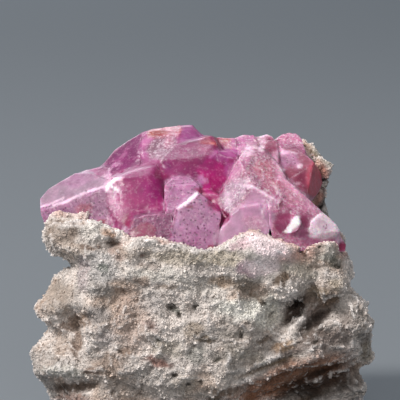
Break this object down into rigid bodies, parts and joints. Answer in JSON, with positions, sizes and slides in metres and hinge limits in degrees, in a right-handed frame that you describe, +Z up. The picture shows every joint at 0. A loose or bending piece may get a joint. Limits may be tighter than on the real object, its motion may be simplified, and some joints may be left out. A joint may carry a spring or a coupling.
{
  "type": "mineral specimen",
  "caption": "Hand-sized lump of pale sugary rock, broken flat underneath, with a crust of blocky pink calcite crystals grown in its hollow top.",
  "frame": {"origin": "middle of the specimen's box, at the level of its flat base", "axes": "+Z up, +X to the right along the longest side, -Y towards the viewer of the front"},
  "size_m": [0.052, 0.0362, 0.044],
  "materials": {
    "matrix_rock": "rough, granular",
    "pink_calcite": "translucent, from glassy to frosted"
  },
  "bodies": {
    "root": {"matrix": "matrix_rock", "crystal_cluster": "pink_calcite"}
  },
  "joints": []
}
